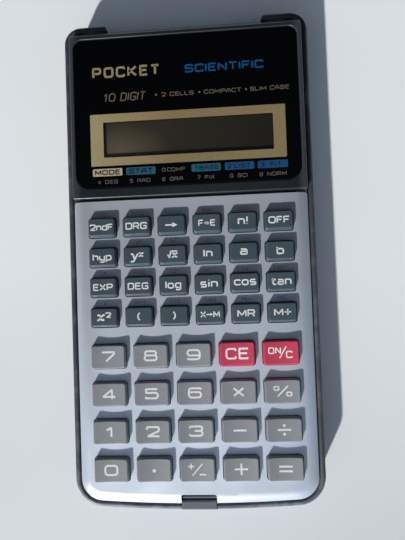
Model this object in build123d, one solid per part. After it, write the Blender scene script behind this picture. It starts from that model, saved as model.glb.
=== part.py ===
from build123d import *
import math
import os

# Pocket scientific calculator lying face up in its clip-on hard case.
# Millimetres, +Z up. The origin is on the table under the middle of the
# hard case. +Y points to the display end, +X to the right of the keyboard.

# ---------------------------------------------------------------- dimensions
# hard case (open tray that takes the calculator from behind)
CASE_W = 76.0            # overall width
CASE_L = 150.5           # overall length
CASE_R_TOP = 5.3         # plan radius at the display end
CASE_R_BOTTOM = 8.75     # plan radius at the keyboard end
CASE_BOW_R = 438.4       # the keyboard end is a shallow arc of this radius
CASE_WALL = 1.85
CASE_FLOOR = 1.5
CASE_RIM_Z = 9.8
CASE_EDGE_R = 1.6        # outer edge between floor and wall
NOTCH_HALF_OUT = 24.9    # finger notch between the two ears, outer half width
NOTCH_HALF_IN = 23.9     # inner half width
NOTCH_SCOOP_Y = 69.6     # how far the notch runs in under the calculator
LATCH_HALF = 5.15        # half width of the spring tongue
LATCH_SLOT_HALF = 5.4    # half width of the opening that holds it
LATCH_PIVOT = (-74.0, 1.0)    # y, z of the tongue's root
LATCH_ROOT_R = 0.70
LATCH_SEAT_R = 0.75
PIVOT_Y, PIVOT_Z = 73.40, 9.3  # the ears' noses, about which the body tips
NOSE_R, NOSE_SEAT_R = 0.50, 0.58

# calculator body
INSET = 2.10             # body outline, inset from the case outline
SHELL = 1.5              # shell wall
COVER_Z0, COVER_FLOOR_Z, SPLIT_Z = 1.6, 3.0, 5.0
LIP_Z = 5.7
DECK_Z0, DECK_Z1 = 8.8, 10.4      # keyboard deck of the front frame
PLATE_Z0, PLATE_Z1 = 9.75, 11.3   # silver keyboard plate
PLATE_TOP_Y = 19.3
PLATE_ROLL_R = 4.71      # radius of the rolled edge
PLATE_ROLL_OUT = 1.41    # how far the rolled surface is cut back
BLOCK_Z = 12.0           # top of the display block
BLOCK_Y0 = 20.15         # lower end of the display block
CHANNEL_Y = -71.85       # back of the latch channel in the body's end
POCKET_Y = -70.0         # end of the pocket in the keyboard plate

# display
WIN_HALF, WIN_Y0, WIN_Y1 = 34.45, 23.25, 69.8
WIN_R_LOW, WIN_R_HIGH = 4.5, 2.6
WIN_Z0, WIN_Z1 = 10.9, 11.68
APERTURE = (27.0, 32.3, 44.8)     # half width, y0, y1
LCD = (30.4, 29.6, 47.4)
LCD_Z0, LCD_Z1 = 8.1, 10.15

# circuit
BOARD_Z0, BOARD_Z1 = 4.4, 5.4
SHEET_Z1 = 6.2
DOME_Z = 7.5
FLANGE_Z0, FLANGE_Z1 = 7.9, 8.7

# keys
KEY_TRAVEL = 0.9
SMALL = dict(w=8.6, d=6.0, tw=7.9, td=5.2, shift=0.22, top=13.0, r=0.8, dish=0.0)
LARGE = dict(w=10.7, d=7.4, tw=10.1, td=6.8, shift=0.10, top=13.2, r=1.0, dish=0.45)
HOLE_GAP = 0.18
SMALL_X = [-26.8, -16.08, -5.36, 5.36, 16.08, 26.8]
SMALL_Y = [10.95, 1.85, -7.25, -16.4]
LARGE_X = [-25.9, -12.95, 0.0, 12.95, 25.9]
LARGE_Y = [-28.25, -39.55, -50.8, -62.1]
SMALL_NAMES = [
    ["2nd", "drg", "right_arrow", "f_e", "factorial", "off"],
    ["hyp", "power", "root", "ln", "a", "b"],
    ["exp", "deg", "log", "sin", "cos", "tan"],
    ["square", "open_bracket", "close_bracket", "store", "recall", "memory_plus"],
]
LARGE_NAMES = [
    ["7", "8", "9", "ce", "on_c"],
    ["4", "5", "6", "multiply", "percent"],
    ["1", "2", "3", "minus", "divide"],
    ["0", "point", "sign", "plus", "equals"],
]

# screws
COVER_SCREWS = [(-30.5, 66.0), (30.5, 66.0), (-31.0, 17.3), (31.0, 17.3), (-24.5, -69.35), (24.5, -69.35)]
BOARD_SCREWS = [(-30.0, -22.2), (0.0, -22.2), (30.0, -22.2), (-30.5, 24.2), (30.5, 24.2)]
CELLS = [(-8.0, 60.5), (8.0, 60.5)]
CELL_R, CELL_H = 5.8, 5.4

os.makedirs("parts", exist_ok=True)


# ------------------------------------------------------------------- helpers
def outline(inset=0.0, extra_top=0.0):
    """Plan outline of the case, moved inwards by inset."""
    hw = CASE_W / 2 - inset
    top = CASE_L / 2 - inset + extra_top
    big = CASE_BOW_R - inset
    cy = -CASE_L / 2 + CASE_BOW_R
    yb = cy - math.sqrt(big * big - hw * hw)
    ym = cy - big
    r_top = max(CASE_R_TOP - inset, 0.5)
    r_low = max(CASE_R_BOTTOM - inset, 0.5)
    with BuildSketch() as s:
        with BuildLine():
            Line((-hw, yb), (-hw, top))
            Line((-hw, top), (hw, top))
            Line((hw, top), (hw, yb))
            ThreePointArc((hw, yb), (0, ym), (-hw, yb))
        make_face()
        fillet([v for v in s.vertices() if v.Y > 0], r_top)
        fillet([v for v in s.vertices() if v.Y < 0 and abs(abs(v.X) - hw) < 0.01], r_low)
    return s.sketch


def prism(sketch, z0, z1):
    return extrude(Pos(0, 0, z0) * sketch, z1 - z0)


def block(x0, x1, y0, y1, z0, z1):
    return Pos((x0 + x1) / 2, (y0 + y1) / 2, (z0 + z1) / 2) * Box(x1 - x0, y1 - y0, z1 - z0)


def post(x, y, r, z0, z1):
    return Pos(x, y, (z0 + z1) / 2) * Cylinder(r, z1 - z0)


def bar_x(y, z, r, x0, x1):
    return Pos((x0 + x1) / 2, y, z) * Rot(0, 90, 0) * Cylinder(r, x1 - x0)


def yz_prism(points, x0, x1):
    """Extrude a (y, z) polygon along X."""
    face = make_face(Plane.YZ * Polyline(*[(p[0], p[1]) for p in points], close=True))
    return Pos(x0, 0, 0) * extrude(face, x1 - x0, dir=(1, 0, 0))


def rounded(w, d, r):
    return RectangleRounded(w, d, r)


def window_outline(grow=0.0):
    hw = WIN_HALF + grow
    y0, y1 = WIN_Y0 - grow, WIN_Y1 + grow
    with BuildSketch() as s:
        with BuildLine():
            Polyline((-hw, y0), (hw, y0), (hw, y1), (-hw, y1), close=True)
        make_face()
        fillet([v for v in s.vertices() if v.Y < 40], WIN_R_LOW + grow)
        fillet([v for v in s.vertices() if v.Y > 60], WIN_R_HIGH + grow)
    return s.sketch


def save(shape, name):
    solids = shape.solids()
    if len(solids) == 1:
        shape = solids[0]
    else:
        shape = Compound(children=list(solids))
    shape.label = name
    export_step(shape, "parts/" + name + ".step")
    print(f"{name:22s} solids {len(solids)}  volume {sum(s.volume for s in solids):9.2f}")


def edges_at(shape, z, tol=0.01):
    return [e for e in shape.edges()
            if abs(e.bounding_box().min.Z - z) < tol and abs(e.bounding_box().max.Z - z) < tol]


# ----------------------------------------------------------------- hard case
case = prism(outline(), 0, CASE_RIM_Z)
case = fillet(edges_at(case, 0.0), CASE_EDGE_R)
case -= prism(outline(CASE_WALL), CASE_FLOOR, CASE_RIM_Z + 1)
case = fillet(edges_at(case, CASE_RIM_Z), 0.85)
case = fillet(edges_at(case, CASE_FLOOR), 0.6)
# noses on the ears, held by the seat along the body's end
for s in (-1, 1):
    nose = bar_x(PIVOT_Y, PIVOT_Z, NOSE_R, *sorted((s * 25.8, s * 31.6)))
    nose += block(*sorted((s * 25.8, s * 31.6)), PIVOT_Y, PIVOT_Y + 0.6, PIVOT_Z - 0.5, PIVOT_Z + 0.25)
    case += nose
# finger notch between the ears, running in under the calculator as a scoop
with BuildSketch() as notch:
    with BuildLine():
        Polyline((-NOTCH_HALF_OUT - 0.35, 76.0), (-NOTCH_HALF_IN, 73.2), (-NOTCH_HALF_IN, NOTCH_SCOOP_Y),
                 (NOTCH_HALF_IN, NOTCH_SCOOP_Y), (NOTCH_HALF_IN, 73.2), (NOTCH_HALF_OUT + 0.35, 76.0), close=True)
    make_face()
    fillet([v for v in notch.vertices() if v.Y < 70], 3.0)
case -= prism(notch.sketch, -1, 20)
# opening for the spring tongue, and the seat of its root
case -= block(-LATCH_SLOT_HALF, LATCH_SLOT_HALF, -77, -73.0, CASE_FLOOR, 20)
case -= bar_x(LATCH_PIVOT[0], LATCH_PIVOT[1], LATCH_SEAT_R, -LATCH_SLOT_HALF, LATCH_SLOT_HALF)
save(case, "hard_case")

# --------------------------------------------------------------- case latch
py, pz = LATCH_PIVOT
tongue = yz_prism([(py - 0.42, pz), (py - 0.42, 2.3), (-75.15, 3.0), (-75.15, 10.0), (-72.35, 10.0),
                   (-72.35, 8.3), (-73.65, 7.0), (-73.65, 2.6), (py + 0.42, 2.3), (py + 0.42, pz)],
                  -LATCH_HALF, LATCH_HALF)
top_edges = [e for e in edges_at(tongue, 10.0)]
tongue = fillet(top_edges, 0.45)
tongue += bar_x(py, pz, LATCH_ROOT_R, -LATCH_HALF, LATCH_HALF)
save(tongue, "case_latch")

# --------------------------------------------------------------- rear cover
cover = prism(outline(INSET), COVER_Z0, SPLIT_Z)
cover = fillet(edges_at(cover, COVER_Z0), 1.2)
cover += prism(outline(INSET + SHELL + 0.05), COVER_FLOOR_Z, LIP_Z)
cover -= prism(outline(INSET + SHELL + 0.75), COVER_FLOOR_Z, LIP_Z + 1)
cover += block(-6.9, 6.9, -72.3, -70.4, COVER_FLOOR_Z, SPLIT_Z)
for x, y in COVER_SCREWS:
    pad = post(x, y, 3.0, COVER_FLOOR_Z - 0.2, 3.6) & prism(outline(INSET + 0.4), 2.0, 4.0)
    cover += pad
    cover -= post(x, y, 2.35, 3.6, LIP_Z + 1)
    cover -= post(x, y, 2.0, COVER_Z0 - 1, 2.7)
    cover -= post(x, y, 1.0, COVER_Z0 - 1, 4.0)
cover -= block(-LATCH_SLOT_HALF, LATCH_SLOT_HALF, -76, CHANNEL_Y, 0, 20)
cover -= block(-7.4, 7.4, -80, -69.4, SPLIT_Z, 20)
# blank label recess in the back
cover -= prism(Pos(0, 18) * rounded(44, 20, 2.0), COVER_Z0 - 1, COVER_Z0 + 0.25)
save(cover, "rear_cover")

# -------------------------------------------------------------- front frame
frame = prism(outline(INSET), SPLIT_Z, BLOCK_Z)
# sloping end face above the nose seat
frame -= yz_prism([(73.15, 9.4), (70.9, BLOCK_Z), (70.9, 14), (76, 14), (76, 9.4)], -40, 40)
slope_edge = [e for e in edges_at(frame, BLOCK_Z) if abs(e.center().Y - 70.9) < 0.05]
side_edges = [e for e in edges_at(frame, BLOCK_Z) if abs(abs(e.center().X) - 35.9) < 0.01]
frame = fillet(slope_edge + side_edges, 0.7)
# keyboard deck: everything below the display block is cut down to the deck
frame -= block(-40, 40, -80, BLOCK_Y0, DECK_Z1, 20)
frame -= prism(outline(0), PLATE_Z0, 20) - prism(outline(INSET + 3.45, 0), PLATE_Z0 - 1, 20) \
    - block(-40, 40, 19.35, 80, 0, 30)
low_edge = [e for e in edges_at(frame, BLOCK_Z) if abs(e.center().Y - BLOCK_Y0) < 0.02]
frame = fillet(low_edge, 0.5)
# inside
inner = outline(INSET + SHELL)
frame -= prism(inner, SPLIT_Z - 1, DECK_Z0)
frame -= prism(inner, SPLIT_Z, 10.2) & block(-40, 40, 19.0, 80, 0, 30)
frame += block(-6.9, 6.9, -72.0, -70.9, SPLIT_Z, DECK_Z0)
# display recess and the aperture over the liquid crystal
frame -= prism(window_outline(0.06), WIN_Z0, 20)
frame -= block(-APERTURE[0], APERTURE[0], APERTURE[1], APERTURE[2], 8, 12)
lip = [e for e in edges_at(frame, BLOCK_Z) if abs(e.center().X) < WIN_HALF + 0.2
       and WIN_Y0 - 0.2 < e.center().Y < WIN_Y1 + 0.2]
frame = fillet(lip, 0.3)
# bosses
for x, y in COVER_SCREWS:
    frame += post(x, y, 1.8 if y < -60 else 2.1, 3.65, 10.3 if y > 19 else DECK_Z0 + 0.1)
for x, y in BOARD_SCREWS:
    frame += post(x, y, 1.8, BOARD_Z1, 10.3 if y > 19 else DECK_Z0 + 0.1)
frame -= Compound(children=[post(x, y, 0.8, 0, 8.3) for x, y in COVER_SCREWS + BOARD_SCREWS])
# wells for the two button cells
wells = post(*CELLS[0], 7.0, 5.5, 10.3) + post(*CELLS[1], 7.0, 5.5, 10.3)
wells -= post(*CELLS[0], 6.1, 5.0, 10.2) + post(*CELLS[1], 6.1, 5.0, 10.2)
for x, y in CELLS:
    wells -= block(x - 2.4, x + 2.4, 50, 57, 5, 9.4)
frame += wells
# key holes
holes = []
for yy in SMALL_Y:
    for xx in SMALL_X:
        holes.append(Pos(xx, yy) * rounded(SMALL["w"] + 2 * HOLE_GAP, SMALL["d"] + 2 * HOLE_GAP, SMALL["r"] + HOLE_GAP))
for yy in LARGE_Y:
    for xx in LARGE_X:
        holes.append(Pos(xx, yy) * rounded(LARGE["w"] + 2 * HOLE_GAP, LARGE["d"] + 2 * HOLE_GAP, LARGE["r"] + HOLE_GAP))
hole_cut = Compound(children=[prism(h, DECK_Z0 - 1, 20) for h in holes])
frame -= hole_cut
# latch channel, the thin ridge behind it and the trough behind the ridge
frame -= block(-LATCH_SLOT_HALF, LATCH_SLOT_HALF, -76, CHANNEL_Y, 0, 20)
frame -= block(-LATCH_SLOT_HALF, LATCH_SLOT_HALF, -71.1, POCKET_Y, 9.35, 20)
ridge = [e for e in edges_at(frame, PLATE_Z0) if abs(e.center().X) < 0.5 and e.center().Y < -71 and e.length > 8]
frame = fillet(ridge, 0.33)
# seat for the ears' noses
for s in (-1, 1):
    frame -= bar_x(PIVOT_Y, PIVOT_Z, NOSE_SEAT_R, *sorted((s * 25.0, s * 32.4)))
save(frame, "front_frame")

# ----------------------------------------------------------- keyboard plate
roll = prism(outline(INSET - PLATE_ROLL_OUT, extra_top=0), PLATE_Z1 - 6.0, PLATE_Z1)
roll = fillet([e for e in edges_at(roll, PLATE_Z1) if e.bounding_box().min.Y < 60], PLATE_ROLL_R)
plate = roll & prism(outline(INSET), PLATE_Z0, 20) & block(-40, 40, -80, PLATE_TOP_Y, 0, 20)
plate -= prism(outline(INSET + 3.4), PLATE_Z0 - 1, DECK_Z1 + 0.02) & block(-40, 40, -80, 30, 0, 20)
corner = [e for e in plate.edges() if abs(e.center().Y - PLATE_TOP_Y) < 0.01 and abs(abs(e.center().X) - 35.9) < 0.05
          and abs(e.bounding_box().min.X - e.bounding_box().max.X) < 0.01]
plate = fillet(corner, 0.8)
plate -= hole_cut
plate -= prism(Pos(0, POCKET_Y - 5.0) * rounded(2 * LATCH_SLOT_HALF, 10.0, 0.8), 0, 20)
save(plate, "keyboard_plate")

# ------------------------------------------------------------ display parts
window = prism(window_outline(0.0), WIN_Z0, WIN_Z1)
window = fillet(edges_at(window, WIN_Z1), 0.25)
save(window, "display_window")

glass = block(-LCD[0], LCD[0], LCD[1], LCD[2], LCD_Z0, LCD_Z0 + 1.0)
glass += block(-LCD[0], LCD[0], LCD[1] + 2.2, LCD[2], LCD_Z0 + 1.0, LCD_Z1)
save(glass, "lcd_glass")

holder = block(-32.4, 32.4, 27.2, 49.8, BOARD_Z1, LCD_Z1)
holder -= block(-LCD[0] - 0.15, LCD[0] + 0.15, LCD[1] - 0.15, LCD[2] + 0.15, LCD_Z0 - 0.05, 20)
holder -= block(-28.4, 28.4, 34.2, 46.6, 0, 20)
holder -= block(-27.3, 27.3, 30.1, 32.5, 0, 20)
holder = fillet(holder.edges().filter_by(Axis.Z).group_by(SortBy.DISTANCE)[-1], 1.0)
save(holder, "lcd_holder")

zebra = block(-27.0, 27.0, 30.4, 32.2, BOARD_Z1, LCD_Z0)
save(zebra, "lcd_connector_strip")

# ------------------------------------------------------------------ circuit
board = prism(Pos(0, -7.0) * rounded(66.0, 119.4, 2.5), BOARD_Z0, BOARD_Z1)
board &= prism(outline(INSET + SHELL + 1.0), 0, 20)
for x, y in BOARD_SCREWS:
    board -= post(x, y, 1.0, 0, 20)
for x, y in COVER_SCREWS[2:4]:
    board -= post(x, y, 2.5, 0, 20)
save(board, "circuit_board")

blob = post(-12.0, 38.0, 6.0, 3.15, BOARD_Z0)
blob = fillet(edges_at(blob, 3.15), 0.9)
save(blob, "controller_chip")

sheet = prism(Pos(0, -25.9) * rounded(65.0, 81.4, 2.5), BOARD_Z1, SHEET_Z1)
sheet &= prism(outline(INSET + SHELL + 1.3), 0, 20)
domes, voids = [], []
for grid_x, grid_y, r0, r1 in ((SMALL_X, SMALL_Y, 2.5, 1.8), (LARGE_X, LARGE_Y, 3.3, 2.4)):
    for yy in grid_y:
        for xx in grid_x:
            domes.append(Pos(xx, yy, (SHEET_Z1 - 0.1 + DOME_Z) / 2) * Cone(r0, r1, DOME_Z - SHEET_Z1 + 0.1))
            voids.append(post(xx, yy, r1 - 0.7, BOARD_Z1 - 1, 6.75))
sheet += domes
sheet -= Compound(children=voids)
for x, y in BOARD_SCREWS[:3]:
    sheet -= post(x, y, 2.1, 0, 20)
save(sheet, "rubber_keypad")

cells = Compound(children=[fillet(edges_at(post(x, y, CELL_R, 3.22, 3.22 + CELL_H), 3.22 + CELL_H), 0.5) for x, y in CELLS])
save(cells, "button_cells")

contacts = [block(-11.0, 11.0, 58.0, 63.0, COVER_FLOOR_Z, COVER_FLOOR_Z + 0.2)]
for x, y in CELLS:
    z1 = 3.22 + CELL_H
    contacts.append(block(x - 2.0, x + 2.0, 51.0, 63.0, z1 + 0.02, z1 + 0.22)
                    + block(x - 2.0, x + 2.0, 51.0, 51.2, BOARD_Z1, z1 + 0.22))
save(Compound(children=contacts), "battery_contacts")

# ------------------------------------------------------------------- screws
def screw(x, y, z_head, head_h, head_r, shank_r, z_tip):
    s = post(x, y, head_r, z_head, z_head + head_h)
    s = fillet(edges_at(s, z_head), 0.3)
    s -= block(x - 1.1, x + 1.1, y - 0.25, y + 0.25, z_head - 1, z_head + 0.5)
    s -= block(x - 0.25, x + 0.25, y - 1.1, y + 1.1, z_head - 1, z_head + 0.5)
    s += post(x, y, shank_r, z_head + head_h - 0.05, z_tip)
    return s


save(Compound(children=[screw(x, y, 1.72, 0.98, 1.85, 0.75, 8.0) for x, y in COVER_SCREWS]), "cover_screws")
save(Compound(children=[screw(x, y, 3.4, 1.0, 1.7, 0.75, 8.0) for x, y in BOARD_SCREWS]), "board_screws")


# --------------------------------------------------------------------- keys
def key(p):
    """A key cap with its retaining flange and plunger, centred on X = Y = 0."""
    straight_top = PLATE_Z1 - 0.2
    cap = prism(rounded(p["w"], p["d"], p["r"]), FLANGE_Z0, straight_top)
    if p["dish"]:
        # all four sides draw in evenly, and a wide cylinder along Y hollows the top
        height = p["top"] - straight_top
        lean = math.degrees(math.atan((p["w"] - p["tw"]) / 2 / height))
        cap = cap + extrude(Pos(0, 0, straight_top) * rounded(p["w"], p["d"], p["r"]), height, taper=lean)
        half = p["tw"] / 2
        big = (half * half + p["dish"] ** 2) / (2 * p["dish"])
        cap -= Pos(0, 0, p["top"] - p["dish"] + big) * Rot(90, 0, 0) * Cylinder(big, 40)
    else:
        cap += loft([Pos(0, 0, straight_top - 0.02) * rounded(p["w"], p["d"], p["r"]),
                     Pos(0, p["shift"], p["top"]) * rounded(p["tw"], p["td"], p["r"] - 0.1)])
    rim = [e for e in cap.edges() if e.bounding_box().min.Z > p["top"] - p["dish"] - 0.06]
    cap = fillet(rim, 0.3)
    cap += prism(rounded(p["w"] + 1.0, p["d"] + 1.0, p["r"]), FLANGE_Z0, FLANGE_Z1)
    cap += post(0, 0, 1.5, DOME_Z, FLANGE_Z0 + 0.1)
    return cap


for kind, xs, ys, names in ((SMALL, SMALL_X, SMALL_Y, SMALL_NAMES), (LARGE, LARGE_X, LARGE_Y, LARGE_NAMES)):
    cap = key(kind)
    for yy, row in zip(ys, names):
        for xx, name in zip(xs, row):
            save(Pos(xx, yy, 0) * cap, "key_" + name)
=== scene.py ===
import bpy
import math
from mathutils import Matrix, Vector


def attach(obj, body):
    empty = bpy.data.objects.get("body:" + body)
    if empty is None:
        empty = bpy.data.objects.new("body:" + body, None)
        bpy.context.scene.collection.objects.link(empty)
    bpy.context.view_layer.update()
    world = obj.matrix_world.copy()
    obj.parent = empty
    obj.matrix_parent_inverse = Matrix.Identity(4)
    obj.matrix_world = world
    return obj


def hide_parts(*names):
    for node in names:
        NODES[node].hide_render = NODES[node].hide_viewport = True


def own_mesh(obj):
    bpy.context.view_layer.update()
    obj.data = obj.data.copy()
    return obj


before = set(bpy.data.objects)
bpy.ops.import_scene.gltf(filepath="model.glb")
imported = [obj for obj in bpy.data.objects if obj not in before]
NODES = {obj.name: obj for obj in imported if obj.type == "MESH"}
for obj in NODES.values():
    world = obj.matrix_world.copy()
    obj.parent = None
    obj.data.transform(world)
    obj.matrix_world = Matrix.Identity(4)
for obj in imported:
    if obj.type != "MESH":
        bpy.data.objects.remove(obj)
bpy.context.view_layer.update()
MM = 0.001

# ------------------------------------------------------------------ materials


class Mat:
    """A node material with short calls for the pieces that every surface here uses."""

    def __init__(self, name, color, rough=0.5, metal=0.0, spec=0.5, ior=1.5):
        self.m = bpy.data.materials.new(name)
        self.m.use_nodes = True
        self.nt = self.m.node_tree
        self.nodes, self.links = self.nt.nodes, self.nt.links
        self.b = next(n for n in self.nodes if n.type == "BSDF_PRINCIPLED")
        self.b.inputs["Base Color"].default_value = (*color, 1)
        self.b.inputs["Roughness"].default_value = rough
        self.b.inputs["Metallic"].default_value = metal
        self.b.inputs["Specular IOR Level"].default_value = spec
        self.b.inputs["IOR"].default_value = ior
        self.color = color
        self.coord = self.nodes.new("ShaderNodeTexCoord")
        self.normal = None

    def place(self, stretch=(1, 1, 1)):
        mp = self.nodes.new("ShaderNodeMapping")
        mp.inputs["Scale"].default_value = stretch
        self.links.new(self.coord.outputs["Object"], mp.inputs["Vector"])
        return mp.outputs["Vector"]

    def noise(self, scale, detail=3.0, rough=0.5, stretch=(1, 1, 1), distort=0.0):
        n = self.nodes.new("ShaderNodeTexNoise")
        n.inputs["Scale"].default_value = scale
        n.inputs["Detail"].default_value = detail
        n.inputs["Roughness"].default_value = rough
        n.inputs["Distortion"].default_value = distort
        self.links.new(self.place(stretch), n.inputs["Vector"])
        return n.outputs["Fac"]

    def voronoi(self, scale, stretch=(1, 1, 1), feature="F1"):
        n = self.nodes.new("ShaderNodeTexVoronoi")
        n.feature = feature
        n.inputs["Scale"].default_value = scale
        self.links.new(self.place(stretch), n.inputs["Vector"])
        return n.outputs["Distance"]

    def ramp(self, fac, stops):
        r = self.nodes.new("ShaderNodeValToRGB")
        e = r.color_ramp.elements
        while len(e) < len(stops):
            e.new(0.5)
        for el, (p, c) in zip(e, stops):
            el.position = p
            el.color = (*c, 1) if len(c) == 3 else c
        self.links.new(fac, r.inputs["Fac"])
        return r.outputs["Color"]

    def map(self, fac, a, b, c, d):
        n = self.nodes.new("ShaderNodeMapRange")
        for i, v in enumerate((a, b, c, d)):
            n.inputs[i + 1].default_value = v
        self.links.new(fac, n.inputs[0])
        return n.outputs[0]

    def math(self, op, a, b=None):
        n = self.nodes.new("ShaderNodeMath")
        n.operation = op
        for i, v in enumerate((a, b)):
            if v is None:
                continue
            if isinstance(v, (int, float)):
                n.inputs[i].default_value = v
            else:
                self.links.new(v, n.inputs[i])
        return n.outputs[0]

    def axis(self, which):
        """Object coordinate along X, Y or Z, in metres."""
        n = self.nodes.new("ShaderNodeSeparateXYZ")
        self.links.new(self.coord.outputs["Object"], n.inputs[0])
        return n.outputs[which]

    def mix(self, fac, a, b, blend="MIX"):
        n = self.nodes.new("ShaderNodeMix")
        n.data_type = "RGBA"
        n.blend_type = blend
        for sock, v in ((n.inputs["Factor"], fac), (n.inputs[6], a), (n.inputs[7], b)):
            if isinstance(v, (int, float)):
                sock.default_value = v
            elif isinstance(v, tuple):
                sock.default_value = (*v, 1) if len(v) == 3 else v
            else:
                self.links.new(v, sock)
        return n.outputs[2]

    def to_color(self, out):
        self.links.new(out, self.b.inputs["Base Color"])

    def to_rough(self, out):
        self.links.new(out, self.b.inputs["Roughness"])

    def bump(self, height, strength, dist):
        n = self.nodes.new("ShaderNodeBump")
        n.inputs["Strength"].default_value = strength
        n.inputs["Distance"].default_value = dist
        self.links.new(height, n.inputs["Height"])
        if self.normal is not None:
            self.links.new(self.normal, n.inputs["Normal"])
        self.normal = n.outputs["Normal"]
        self.links.new(self.normal, self.b.inputs["Normal"])

    def coat(self, weight, rough, ior=1.5):
        self.b.inputs["Coat Weight"].default_value = weight
        self.b.inputs["Coat Roughness"].default_value = rough
        self.b.inputs["Coat IOR"].default_value = ior


def shade(c, k):
    return tuple(min(1.0, x * k) for x in c)


def moulded(name, color, rough=0.45, grain=2600, grain_depth=0.00001, spec=0.5, mottling=0.12, dust=0.0):
    """Injection-moulded plastic: spark-eroded grain, faint flow mottling and rubbed patches."""
    m = Mat(name, color, rough=rough, spec=spec)
    big = m.noise(38, 4, 0.55)
    fine = m.noise(900, 3, 0.6)
    c = m.mix(m.map(big, 0.3, 0.7, 0.0, 1.0), shade(color, 1 - mottling), shade(color, 1 + mottling))
    c = m.mix(m.map(fine, 0.35, 0.75, 0.0, 0.25), c, shade(color, 1.35))
    if dust:
        specks = m.voronoi(420)
        c = m.mix(m.map(specks, 0.0, 0.10, dust, 0.0), c, (0.55, 0.55, 0.53))
    m.to_color(c)
    m.to_rough(m.map(big, 0.3, 0.7, rough - 0.06, rough + 0.07))
    m.bump(m.noise(grain, 2, 0.5), 0.35, grain_depth)
    return m


mat_case = moulded("case_plastic_grained", (0.040, 0.045, 0.055), 0.48, 2200, 0.000016, mottling=0.14)
# rubbed, lighter line along the case's rim, where it meets hands and table
_m = mat_case
_edge = _m.map(_m.axis(2), 0.0088, 0.0098, 0.0, 1.0)
_patch = _m.map(_m.noise(160, 5, 0.65), 0.48, 0.68, 0.0, 1.0)
_wear = _m.math("MULTIPLY", _m.math("MULTIPLY", _edge, _patch), 0.55)
_m.to_color(_m.mix(_wear, _m.b.inputs["Base Color"].links[0].from_socket, (0.16, 0.165, 0.175)))

# painted light and shade: paler at the keyboard end, where the sun falls on the rim, and darker round the ears, which
# lie in shade; tones chosen for this view's light
_low = _m.mix(_m.map(_m.axis(1), -0.0765, -0.060, 0.0, 1.0), (2.1, 2.05, 2.15), (1.0, 1.0, 1.0))
_high = _m.mix(_m.map(_m.axis(1), 0.040, 0.072, 0.0, 1.0), (1.0, 1.0, 1.0), (0.50, 0.52, 0.55))
_m.to_color(_m.mix(1.0, _m.mix(1.0, _m.b.inputs["Base Color"].links[0].from_socket, _low, "MULTIPLY"), _high, "MULTIPLY"))
# the tongue: the case plastic in a paler copy, a painted highlight standing in for sun on its top
mat_tongue_painted_lit = moulded("tongue_plastic_painted_lit", (0.088, 0.103, 0.124), 0.48, 2200, 0.000016, mottling=0.14)

mat_slate = moulded("slate_plastic_satin", (0.0145, 0.0180, 0.0215), 0.30, 2600, 0.000008, spec=0.45, mottling=0.10)
# painted light: paler outer edges at the sides and the keyboard end, standing in for light falling on them; a tone
# chosen for this view's light
_m = mat_slate
_side = _m.map(_m.math("MULTIPLY", _m.axis(0), _m.axis(0)), 0.00108, 0.00119, 0.0, 1.0)
_end = _m.map(_m.axis(1), -0.0725, -0.0700, 1.0, 0.0)
_pale = _m.mix(_m.math("MAXIMUM", _side, _end), _m.b.inputs["Base Color"].links[0].from_socket, (0.040, 0.044, 0.052))
# painted light: the ridge and trough behind the latch tongue are paler still, standing in for sun on them
_painted_ridge_light = _m.math("MULTIPLY", _m.map(_m.math("MULTIPLY", _m.axis(0), _m.axis(0)), 0.0000292, 0.0000300, 1.0, 0.0),
                 _m.math("MULTIPLY", _m.map(_m.axis(1), -0.0719, -0.0718, 0.0, 1.0), _m.map(_m.axis(1), -0.0699, -0.0698, 1.0, 0.0)))
_painted_ridge_light = _m.math("MULTIPLY", _painted_ridge_light, _m.map(_m.axis(2), 0.0090, 0.0093, 0.0, 1.0))
_m.to_color(_m.mix(_painted_ridge_light, _pale, (0.098, 0.096, 0.118)))
mat_dark_key = moulded("key_dark_satin", (0.044, 0.068, 0.084), 0.50, 2400, 0.000012, spec=0.42, mottling=0.10)
mat_grey_key = moulded("key_grey_satin", (0.228, 0.238, 0.255), 0.48, 2400, 0.000012, mottling=0.06)
mat_red_key = moulded("key_red_satin", (0.52, 0.040, 0.088), 0.44, 2400, 0.000010, mottling=0.06)
mat_inner = moulded("inner_plastic_natural", (0.42, 0.42, 0.40), 0.5, 1800, 0.00001)
mat_rubber = moulded("keypad_silicone", (0.42, 0.42, 0.41), 0.7, 1500, 0.00001)
mat_zebra = moulded("connector_elastomer", (0.30, 0.27, 0.22), 0.7, 1500, 0.00001)
mat_resin = moulded("chip_resin_gloss", (0.012, 0.012, 0.013), 0.16, 900, 0.00002)

# silver paint on the keyboard plate: metal flake under a satin clear coat
m = Mat("silver_paint", (0.56, 0.595, 0.65), rough=0.36, metal=0.40, spec=0.5)
flake = m.voronoi(5200)
sheen = m.noise(26, 3, 0.5)
c = m.mix(m.map(flake, 0.0, 0.6, 0.0, 0.5), (0.61, 0.645, 0.70), (0.46, 0.49, 0.545))
c = m.mix(m.map(sheen, 0.3, 0.7, 0.0, 0.35), c, (0.58, 0.61, 0.66))
grime = m.map(m.noise(210, 6, 0.7), 0.60, 0.75, 0.0, 0.22)
c = m.mix(grime, c, (0.36, 0.355, 0.34))
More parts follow.
